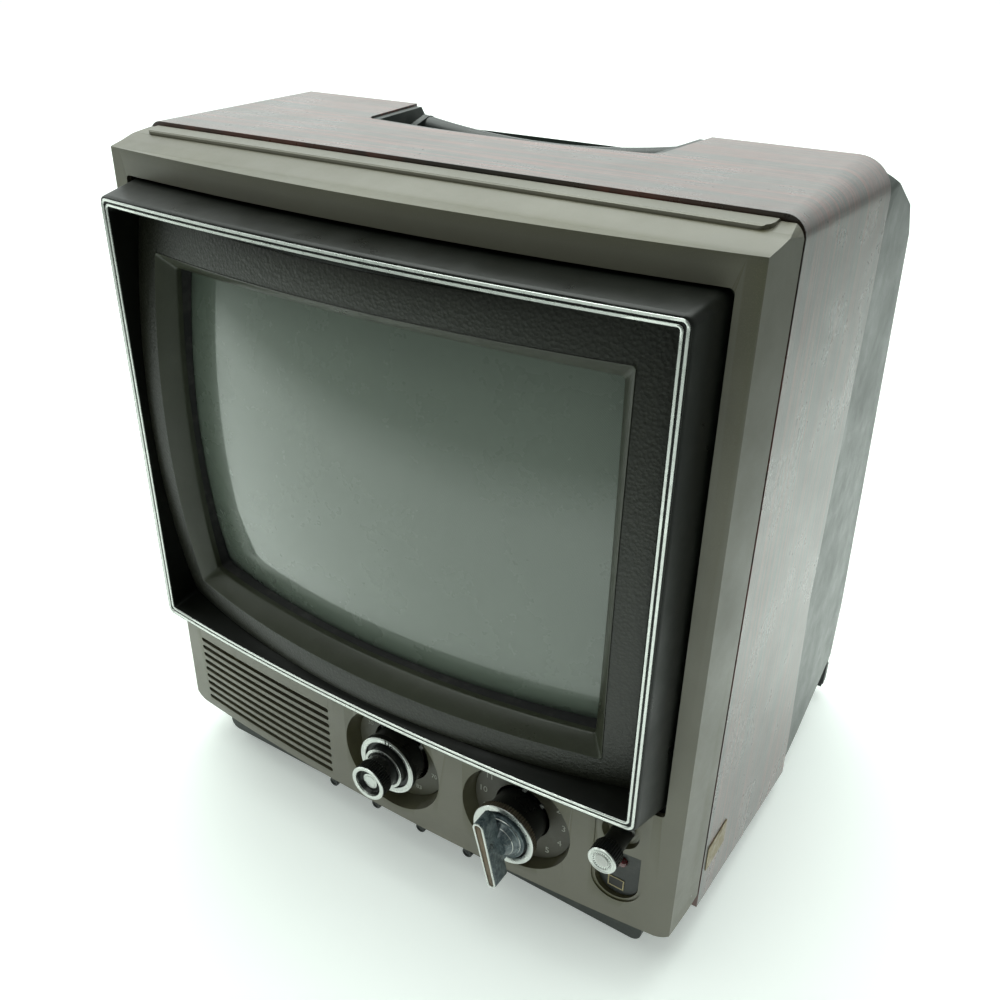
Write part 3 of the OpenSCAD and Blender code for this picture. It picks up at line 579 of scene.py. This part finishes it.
# ------------------------------------------------------------------ hood
hood = loft("hood_shell", [
    bring(156.2, 126.4, 236.2, 3.0, 0, 0, r=5.5),
    bring(152.5, 122.2, 236.8, -20.5, 7.0, 0, r=4.2),
    bring(152.15, 121.8, 236.85, -22.3, 7.7, 0, r=4.0),
    bring(151.8, 121.4, 236.85, -22.7, 7.7, 0, r=3.8),
    bring(151.35, 121.0, 236.85, -22.75, 7.7, 0, r=3.7),
    bring(151.2, 120.85, 236.85, -22.2, 7.7, 0, r=3.7),
    bring(147.4, 117.05, 236.85, -22.2, 7.7, 0, r=2.2),
    bring(147.3, 117.0, 236.85, -22.65, 7.7, 0, r=2.2),
    bring(147.0, 116.7, 236.86, -22.5, 7.8, 0.2, r=2.2),
    bring(146.6, 116.2, 236.9, -20.5, 8.6, 0.8, 0.1, 0.1, r=2.4),
    bring(146.2, 114.7, 237, -9.0, 19.0, 10.0, 0.4, 0.4, r=2.6),
    bring(146, 113.9, 237, -5.2, 22.6, 13.1, 0.5, 0.5, r=2.6),
    bring(146, 113.9, 237, -2.4, 22.6, 13.1, 0.5, 0.5, r=2.6),
    bring(153.4, 123.6, 236.2, 3.2, 0, 0, r=3),
    bring(153.4, 123.6, 236.2, 6, 0, 0, r=3),
    bring(163, 132.2, 236.4, 6, 0, 0, r=8),
    bring(163, 132.2, 236.4, 3.05, 0, 0, r=8),
], sharp=40)
piece(hood, M["hood_brown"], ["hood"])
# painted shade: faces inside the inner trim line get the darker inner_hood copy of the hood plastic
hood.data.materials.append(M["inner_hood"])
for p in hood.data.polygons:
    c = p.center
    if p.index is not None:
        x, y, z = c.x * 1000, c.y * 1000 + YO, c.z * 1000
        inside = abs(x) < 147.35 and abs(z - 236.85) < 117.02
        if inside:
            p.material_index = 1


def trim_ring(name, a0, a1, yy, node, mat="silver_trim", proud=0.55, r0=3.4):
    d = 30.35
    ob = loft(name, [
        bring(a0, a0 - d, 236.85, yy, 7.7, 0, r=r0),
        bring(a0, a0 - d, 236.85, yy - proud * 0.75, 7.7, 0, r=r0),
        bring(a0 - 0.15, a0 - 0.15 - d, 236.85, yy - proud, 7.7, 0, r=r0),
        bring(a1 + 0.15, a1 + 0.15 - d, 236.85, yy - proud, 7.7, 0, r=max(0.6, r0 - (a0 - a1))),
        bring(a1, a1 - d, 236.85, yy - proud * 0.75, 7.7, 0, r=max(0.6, r0 - (a0 - a1))),
        bring(a1, a1 - d, 236.85, yy, 7.7, 0, r=max(0.6, r0 - (a0 - a1))),
    ], sharp=50)
    return piece(ob, M[mat], [node] if node else [])


trim_ring("trim_outer_line", 151.15, 149.75, -22.2, "trim_outer", proud=0.9)
trim_ring("trim_inner_line", 148.75, 147.45, -22.2, "trim_inner", proud=0.8, r0=2.6)
trim_ring("trim_groove", 149.74, 148.76, -22.2, None, mat="groove", proud=0.12, r0=3.0)

# ------------------------------------------------------------------ bezel
bez = loft("bezel", [
    bring(145.8, 113.7, 237, -5.25, 22.6, 13.1, 0.5, 0.5, r=2.4),
    bring(144.6, 112.6, 237, -5.9, 22.4, 12.9, 0.6, 0.6, r=2.4),
    bring(138.5, 107.0, 236.85, -8.9, 20.0, 10.9, 1.2, 1.0, r=2.2),
    bring(132.5, 100.8, 236.7, -11.7, 17.4, 8.8, 2.0, 1.5, r=2.0),
    bring(129.4, 96.9, 236.6, -13.1, 15.7, 7.6, 2.6, 1.9, r=2.0),
    bring(128.75, 96.2, 236.6, -13.35, 15.4, 7.4, 2.7, 1.9, r=1.8),
    bring(128.5, 95.9, 236.6, -13.8, 15.4, 7.4, 2.7, 1.9, r=1.8),
    bring(128.05, 95.4, 236.6, -13.75, 15.3, 7.3, 2.7, 1.9, r=1.7),
    bring(122.1, 88.75, 236.5, -8.2, 12.0, 4.5, 2.7, 2.35, r=1.6),
    bring(121.7, 88.3, 236.5, -7.7, 11.8, 4.25, 2.7, 2.4, r=1.6),
    bring(121.6, 88.2, 236.5, -7.1, 11.7, 4.2, 2.7, 2.4, r=1.6),
    bring(121.6, 88.2, 236.5, -4.6, 11.7, 4.2, 2.7, 2.4, r=1.6),
    bring(125.0, 91.6, 236.5, -4.6, 11.7, 4.2, 2.7, 2.4, r=1.6),
    bring(131.2, 98.6, 236.6, -10.6, 15.2, 7.2, 2.7, 1.9, r=1.6),
    bring(145.8, 113.7, 237, -2.4, 22.6, 13.1, 0.5, 0.5, r=2.4),
], sharp=45)
piece(bez, M["bezel_brown"], ["screen_bezel"])
bez.data.materials.append(M["ring_brown"])
nring = len(rrect(10, 10, 1))
for p in bez.data.polygons:
    x, z = p.center.x * 1000, p.center.z * 1000 - 236.6
    if abs(x) < 128.6 + 2.7 * (1 - min(1, (z / 96) ** 2)) and abs(z) < 96.0 + 1.9 * (1 - min(1, (x / 128.6) ** 2)) and p.normal.y < 0.3:
        p.material_index = 1

gask = loft("gasket", [
    bring(121.9, 88.5, 236.5, -4.5, 11.7, 4.2, 2.7, 2.4, r=1.6),
    bring(121.1, 87.7, 236.5, 0.0, 13.2, 6.4, 2.7, 2.4, r=3.0),
    bring(120.9, 87.5, 236.5, 1.4, 13.9, 6.9, 2.7, 2.4, r=4.0),
    bring(124.6, 91.2, 236.5, 2.0, 13.9, 6.9, 2.7, 2.4, r=4.0),
    bring(124.6, 91.2, 236.5, -4.5, 11.7, 4.2, 2.7, 2.4, r=1.6),
], sharp=45)
piece(gask, M["black_rubber"], ["screen_gasket"])

# ------------------------------------------------------------------ tube face
R = 520.0
gv, gf = [], []
NX, NZ = 72, 54
W2, H2 = 131.0, 98.0
for j in range(NZ + 1):
    for i in range(NX + 1):
        x = -W2 + 2 * W2 * i / NX
        z = -H2 + 2 * H2 * j / NZ
        gv.append(P(x, -20 + R - math.sqrt(R * R - x * x - z * z), 236.5 + z))
for j in range(NZ):
    for i in range(NX):
        a = j * (NX + 1) + i
        gf.append((a, a + 1, a + NX + 2, a + NX + 1))
face = new_ob("tube_face", gv, gf)
sol = face.modifiers.new("thick", "SOLIDIFY")
sol.thickness = 0.009
sol.offset = -1 if face.data.polygons[0].normal.y < 0 else 1
piece(face, M["tube_glass"], ["crt_panel"])

# ------------------------------------------------------------------ UHF dial
UX, VX, DZ = 1.2, 80.4, 67.6
ob = lathe("uhf_selector_body", UX, DZ, [
    (3.1, -0.7), (16.6, -0.7), (16.8, -1.0), (16.8, -9.2), (17.0, -9.6), (17.8, -9.8), (18.0, -10.1), (18.0, -12.9), (17.9, -13.05),
    (14.75, -13.05), (14.6, -12.8), (14.5, -11.9), (13.6, -11.6), (12.5, -11.7), (12.3, -12.0), (12.3, -16.1), (12.2, -16.3),
    (10.7, -16.35), (10.5, -16.1), (9.7, -16.0), (9.6, -16.3), (9.6, -21.6), (9.4, -21.8), (3.1, -21.8)], 160)
piece(ob, M["black_knob"], ["uhf_ring"], "uhf_selector")
ob = lathe("uhf_selector_rim", UX, DZ, [(14.8, -13.06), (18.0, -13.06), (18.0, -13.4), (17.8, -13.58), (17.2, -13.6), (16.9, -13.45), (16.6, -13.6), (15.0, -13.58), (14.8, -13.4), (14.8, -13.06)], 160)
piece(ob, M["silver_trim"], ["uhf_ring_face"], "uhf_selector")
ob = lathe("uhf_neck_rim", UX, DZ, [(10.6, -16.36), (12.25, -16.36), (12.3, -16.6), (12.1, -16.78), (10.8, -16.78), (10.6, -16.6), (10.6, -16.36)], 128)
piece(ob, M["silver_trim"], [], "uhf_selector")
for k, a in enumerate((0, 7.5)):
    pts = [(-0.42, 14.9), (0.42, 14.9), (0.42, 17.95), (-0.42, 17.95)]
    ca, sa = math.cos(math.radians(a)), math.sin(math.radians(a))
    ob = slab("uhf_index_%d" % k, [(UX + x * ca + z * sa, DZ - x * sa + z * ca) for x, z in pts], -13.6, -13.62)
    piece(ob, M["paint_dark"], [], "uhf_selector")

ob = lathe("uhf_tuning_body", UX, DZ, [
    (0.0, -20.9), (2.9, -20.9), (2.9, -22.0), (9.2, -22.0), (10.1, -22.3), (10.5, -22.8, 1), (10.5, -23.0, 1), (10.5, -28.9, 1), (10.5, -29.2, 1), (10.3, -29.6),
    (8.3, -29.62), (8.0, -29.3), (7.7, -28.0), (7.2, -26.9), (6.6, -26.45), (0.0, -26.4)], teeth=46, depth=0.62, sharp=35)
piece(ob, M["black_knob"], ["uhf_fine_knob"], "uhf_tuning")
ob = lathe("uhf_tuning_rim", UX, DZ, [(8.25, -29.4), (10.35, -29.6), (10.5, -29.9), (10.35, -30.25), (9.9, -30.4), (8.7, -30.4), (8.15, -30.1), (8.0, -29.4), (7.9, -28.6), (8.05, -28.6), (8.25, -29.4)], 128)
piece(ob, M["silver_trim"], ["uhf_fine_rim"], "uhf_tuning")
ob = lathe("uhf_tuning_cap", UX, DZ, [(4.8, -26.46), (4.8, -27.5), (4.55, -27.9), (3.9, -28.0), (3.7, -27.75), (3.4, -27.75), (3.2, -27.95), (0.0, -28.0)], 96)
piece(ob, M["silver_trim"], ["uhf_fine_cap"], "uhf_tuning")

# ------------------------------------------------------------------ VHF dial
ob = lathe("vhf_tuning_body", VX, DZ, [
    (3.1, -0.7), (15.0, -0.7), (15.2, -1.0), (15.2, -14.9), (16.9, -15.0), (17.7, -15.2), (18.0, -15.6, 1), (18.0, -15.8, 1), (18.0, -18.4, 1), (18.0, -18.6, 1), (17.8, -19.0),
    (14.5, -19.0), (14.3, -18.6), (14.2, -17.1), (3.1, -17.05)], teeth=74, depth=0.55, sharp=35)
piece(ob, M["black_knob"], ["vhf_ring"], "vhf_tuning")
ob.data.materials.append(M["teeth_brown"])
for p in ob.data.polygons:
    d = math.hypot(p.center.x * 1000 - VX, p.center.z * 1000 - DZ)
    if d > 17.0 and p.center.y * 1000 + YO < -15.5:
        p.material_index = 1
ob = lathe("vhf_tuning_rim", VX, DZ, [(14.45, -18.9), (17.75, -19.02), (17.9, -19.2), (17.6, -19.55), (17.0, -19.6), (15.0, -19.6), (14.6, -19.45), (14.4, -19.1), (14.45, -18.9)], 160)
piece(ob, M["silver_trim"], ["vhf_ring_face"], "vhf_tuning")

TA = math.radians(13.8)


def tilt(x, z):
    """local to the blade, z along it, to the front frame about the dial's centre"""
    return (VX + x * math.cos(TA) - z * math.sin(TA), DZ + x * math.sin(TA) + z * math.cos(TA))


def stadium(l0, w0, w1, n=16):
    pts = []
    r0, r1 = w0 / 2, w1 / 2
    for i in range(n + 1):
        a = pi * i / n
        pts.append((r0 * math.cos(a), l0 - r0 + r0 * math.sin(a)))
    for i in range(n + 1):
        a = pi + pi * i / n
        pts.append((r1 * math.cos(a), -l0 + r1 + r1 * math.sin(a)))
    return pts


hub = lathe("vhf_hub", VX, DZ, [
    (0.0, -17.3), (13.0, -17.3), (13.2, -17.6), (13.2, -20.3), (12.9, -20.6), (11.5, -20.6), (11.3, -20.9), (11.2, -21.3), (10.7, -21.5),
    (10.3, -21.5), (9.6, -22.6), (8.4, -24.2), (7.4, -25.6), (6.6, -27.0), (0.0, -27.2)], 128)
bl_out = [tilt(x, z) for x, z in stadium(20.4, 6.4, 5.2)]
bl_mid = [tilt(x * 0.985, z * 0.995) for x, z in stadium(20.4, 6.4, 5.2)]
n = len(bl_out)
verts, faces = [], []
layers = [(0.90, 0.93, -24.9), (0.97, 0.985, -25.15), (1.0, 1.0, -25.6), (1.0, 1.0, -35.2), (0.98, 0.995, -35.6), (0.94, 0.985, -35.74)]
for kx, kz, y in layers:
    for x, z in stadium(20.4, 6.4, 5.2):
        X, Z = tilt(x * kx, z * kz)
        verts.append(P(X, y, Z))
for j in range(len(layers) - 1):
    for i in range(n):
        k = (i + 1) % n
        faces.append((j * n + i, j * n + k, (j + 1) * n + k, (j + 1) * n + i))
faces.append(tuple(range(n)))
faces.append(tuple(range((len(layers) - 1) * n, len(layers) * n)))
blade = new_ob("vhf_blade", verts, faces)
mark_sharp(blade, 40)
piece(hub, M["blade_grey"], ["vhf_knob"], "vhf_channel")
piece(blade, M["blade_grey"], [], "vhf_channel")
root_pts = [tilt(x, z) for x, z in ((-2.9, -10.2), (2.9, -10.2), (2.9, 10.2), (-2.9, 10.2))]
stem = slab("vhf_blade_root", root_pts, -21.2, -25.3)
finish_edges(stem, 0.0006, 3)
piece(stem, M["blade_grey"], [], "vhf_channel")
ob = frame_slab("vhf_blade_line", [tilt(x, z) for x, z in stadium(20.25, 6.1, 4.9)], [tilt(x, z) for x, z in stadium(19.2, 4.0, 2.9)], -35.72, -36.45)
finish_edges(ob, 0.0002, 2, 40)
piece(ob, M["silver_trim"], ["vhf_blade_trim"], "vhf_channel")
ob = slab("vhf_blade_inlay", [tilt(x, z) for x, z in stadium(19.2, 4.0, 2.9)], -35.7, -35.95)
piece(ob, M["dirt_tan"], [], "vhf_channel")
for k, (r0, y0, w) in enumerate(((11.4, -20.65, 0.8), (8.9, -23.5, 0.45))):
    ob = lathe("vhf_hub_line_%d" % k, VX, DZ, [(r0 - w, y0 + 0.1), (r0, y0 + 0.1), (r0 + 0.05, y0 - 0.1), (r0 - 0.1, y0 - 0.32), (r0 - w + 0.1, y0 - 0.34), (r0 - w, y0 - 0.1), (r0 - w, y0 + 0.1)], 128)
    piece(ob, M["silver_trim"], [], "vhf_channel")

# ------------------------------------------------------------------ volume
LX, LZ = 137.0, 88.0
ob = lathe("volume_stem_v", LX, LZ, [(3.1, -0.7), (5.4, -0.7), (5.6, -1.0), (5.6, -12.4), (5.9, -12.6), (6.5, -12.8), (6.6, -13.0), (6.6, -13.8), (3.1, -13.85)], 96)
piece(ob, M["black_knob"], ["volume_sleeve"], "volume_stem")
ob = lathe("volume_body", LX, LZ, [(0, 13.9), (2.9, 13.9), (2.95, -14.1), (6.6, -14.1), (7.2, -14.4), (7.5, -14.8, 1), (7.5, -15.0, 1), (7.5, -21.4, 1), (7.5, -21.6, 1), (7.3, -22.0), (0, -22.0)], teeth=34, depth=0.6, sharp=35)
piece(ob, M["black_knob"], ["volume_knob"], "volume")
ob = lathe("volume_rim", LX, LZ, [(3.5, -22.02), (7.35, -22.02), (7.45, -22.3), (7.2, -22.7), (6.6, -22.78), (6.2, -22.5), (5.9, -22.45), (5.6, -22.7), (5.2, -22.72), (4.9, -22.45), (3.9, -22.4), (3.5, -22.3), (3.5, -22.02)], 128)
piece(ob, M["silver_trim"], ["volume_face"], "volume")
ob = lathe("volume_centre", LX, LZ, [(3.4, -22.02), (3.4, -22.6), (3.2, -22.8), (0, -22.8)], 96)
piece(ob, M["volume_white"], [], "volume")

for k in range(24):
    a = 2 * pi * k / 24
    ca, sa = math.cos(a), math.sin(a)
    pts = [(-0.14, 4.0), (0.14, 4.0), (0.14, 4.8), (-0.14, 4.8)]
    ob = slab("volume_tick_%02d" % k, [(LX + x * ca + z * sa, LZ - x * sa + z * ca) for x, z in pts], -22.40, -22.52)
    piece(ob, M["paint_dark"], [], "volume")

# ------------------------------------------------------------------ pilot, badge
ob = lathe("jewel", 138.6, 67.8, [(0, 1.8), (3.2, 1.8), (3.2, 1.1), (2.7, 1.0), (2.7, -0.6), (2.55, -1.5), (2.1, -2.2), (1.4, -2.7), (0.7, -2.88), (0, -2.9)], 64)
piece(ob, M["jewel_red"], ["pilot_jewel"])
ob = slab("badge_field", [(131.6, 47.6), (140.6, 47.6), (140.6, 54.6), (131.6, 54.6)], -0.03, -0.28)
finish_edges(ob, 0.00008, 2)
piece(ob, M["paint_dark"], ["badge_blank"])
ob = frame_slab("badge_line", [(131.6, 47.6), (140.6, 47.6), (140.6, 54.6), (131.6, 54.6)], [(132.3, 48.3), (139.9, 48.3), (139.9, 53.9), (132.3, 53.9)], -0.27, -0.35)
piece(ob, M["paint_gold"], [], "set")

# ------------------------------------------------------------------ pegs
for i, b in enumerate("abcd"):
    x = -49.5 + 32.3 * i
    ob = lathe("peg_%s_v" % b, x, 18.3, [(0, 16.9), (1.5, 16.9), (1.5, 9.0), (2.9, 9.0), (3.1, 8.8), (3.1, -2.3), (3.0, -2.8), (2.7, -3.0), (2.1, -3.0), (1.9, -2.8), (1.8, -2.45), (0.9, -2.4), (0.6, -2.6), (0, -2.65)], 64)
    piece(ob, M["peg_black"], ["peg_%d" % (i + 1)], "peg_" + b)


# ------------------------------------------------------------------ numbers
def number(txt, cx, cz, r, ang, size, y, mat):
    cu = bpy.data.curves.new("n_" + txt, "FONT")
    cu.body = txt
    cu.size = size / 1000.0 * 1.38
    cu.align_x = "CENTER"
    cu.align_y = "CENTER"
    cu.extrude = 0.00003
    tmp = bpy.data.objects.new("tmp", cu)
    bpy.context.scene.collection.objects.link(tmp)
    bpy.context.view_layer.update()
    me = bpy.data.meshes.new_from_object(tmp.evaluated_get(bpy.context.evaluated_depsgraph_get()))
    bpy.data.objects.remove(tmp)
    a = math.radians(ang)
    c = P(cx + r * math.sin(a), y, cz + r * math.cos(a))
    me.transform(Matrix.Translation(c) @ Matrix.Rotation(pi / 2, 4, "X"))
    ob = bpy.data.objects.new("mark_%s_%d" % (txt, int(cx)), me)
    bpy.context.scene.collection.objects.link(ob)
    ob.data.materials.clear()
    ob.data.materials.append(M[mat])
    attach(ob, "set")
    return ob


for k in range(12):
    number(str(k + 2), VX, DZ, 24.6, 58.6 + 27.2 * k, 4.0, -0.06, "paint_pale")
for k, t in enumerate(("14", "20", "30", "40", "50", "60", "70", "83")):
    number(t, UX, DZ, 23.6, -150 + 300 / 7.0 * k, 2.9, -0.06, "paint_pale")


# ------------------------------------------------------------------ stage, light, camera
def plane(name, x0, y0, x1, y1, z, mat):
    ob = new_ob(name, [(x0, y0, z), (x1, y0, z), (x1, y1, z), (x0, y1, z)], [(0, 1, 2, 3)], False)
    ob.data.materials.append(mat)
    return ob


fl = Mat("floor_pale", 0.6, 0.0, 0.3)
fx, fy, fz = fl.xyz()
# the pale sheet fades beyond the viewer's side and the right edge of the picture
away = fl.math("MAXIMUM", fl.rng(fy, -0.60, -0.95, 0, 1), fl.rng(fx, 0.345, 0.43, 0, 1))
pale = fl.mix(fl.rng(fl.noise(3, 3, 0.5), 0.3, 0.7, 0, 1), (0.84, 0.885, 0.85), (0.87, 0.91, 0.88))
fl.color(fl.mix(away, pale, (0.32, 0.34, 0.325)))
# painted light: the pale floor glows (emission 0.26 and up, rising towards the back and the right, none on the grey
# part beyond) to lift the set's cast shadow off it
fl.b.inputs["Emission Color"].default_value = (0.93, 1.0, 0.965, 1)
fl.set(fl.b.inputs["Emission Strength"], fl.math("MULTIPLY", fl.math("SUBTRACT", 1.0, away), fl.math("ADD", fl.rng(fy, 0.1, 1.1, 0.26, 0.50), fl.rng(fx, -0.2, 0.3, 0.0, 0.12))))
plane("floor", -9, -9, 9, 14, -0.0005, fl.m)

world = bpy.data.worlds.new("w")
bpy.context.scene.world = world
world.use_nodes = True
wt = world.node_tree
bg = wt.nodes["Background"]
bg.inputs[0].default_value = (0.93, 1.0, 0.965, 1)
tc = wt.nodes.new("ShaderNodeTexCoord")
sp = wt.nodes.new("ShaderNodeSeparateXYZ")
wt.links.new(tc.outputs["Generated"], sp.inputs[0])
mr = wt.nodes.new("ShaderNodeMapRange")
mr.interpolation_type = "SMOOTHSTEP"
mr.inputs[1].default_value, mr.inputs[2].default_value = -0.45, 0.35
mr.inputs[3].default_value, mr.inputs[4].default_value = 0.26, 1.30
wt.links.new(sp.outputs[1], mr.inputs[0])
mx = wt.nodes.new("ShaderNodeMapRange")
mx.interpolation_type = "SMOOTHSTEP"
mx.inputs[1].default_value, mx.inputs[2].default_value = 0.0, 0.42
mx.inputs[3].default_value, mx.inputs[4].default_value = 1.0, 0.30
wt.links.new(sp.outputs[0], mx.inputs[0])
mm = wt.nodes.new("ShaderNodeMath")
mm.operation = "MULTIPLY"
wt.links.new(mr.outputs[0], mm.inputs[0])
wt.links.new(mx.outputs[0], mm.inputs[1])
wt.links.new(mm.outputs[0], bg.inputs[1])


def area(name, loc, target, size, power, col=(1, 1, 1)):
    li = bpy.data.lights.new(name, "AREA")
    li.shape = "RECTANGLE"
    li.size, li.size_y = size
    li.energy = power
    li.color = col
    ob = bpy.data.objects.new(name, li)
    ob.location = loc
    ob.rotation_euler = (Vector(target) - Vector(loc)).to_track_quat("-Z", "Y").to_euler()
    bpy.context.scene.collection.objects.link(ob)
    return ob


area("soft_top", (-0.2, 0.6, 2.2), (-0.1, 0, 0), (2.4, 2.0), 32, (0.93, 1.0, 0.95))
area("soft_front_top", (-0.5, -0.7, 2.7), (-0.2, -0.3, 0), (2.4, 1.8), 26, (0.93, 1.0, 0.95))
area("soft_left", (-2.2, -0.4, 1.0), (0, -0.1, 0.1), (1.4, 1.2), 10, (0.93, 1.0, 0.95))

cam = bpy.data.cameras.new("cam")
cam.sensor_width = 36
cam.lens = 1046.1687 / 1000 * 36
cam.shift_x = (500 - 457.762) / 1000.0
cam.shift_y = (502.068 - 500) / 1000.0
cam.clip_start = 0.01
co = bpy.data.objects.new("cam", cam)
Rx = Vector((0.8244118757, 0.5659859624, -0.0022247885))
Ry = Vector((0.2794647970, -0.4104787169, -0.8679900058))
Rz = Vector((-0.4921833871, 0.7149595187, -0.4965766810))
mw = Matrix.Identity(4)
for k in range(3):
    mw[k][0], mw[k][1], mw[k][2] = Rx[k], -Ry[k], -Rz[k]
C = P(276.259, -343.302, 478.999)
mw[0][3], mw[1][3], mw[2][3] = C
co.matrix_world = mw
bpy.context.scene.collection.objects.link(co)
bpy.context.scene.camera = co
bpy.context.scene.view_settings.view_transform = "Standard"
bpy.context.scene.view_settings.look = "None"
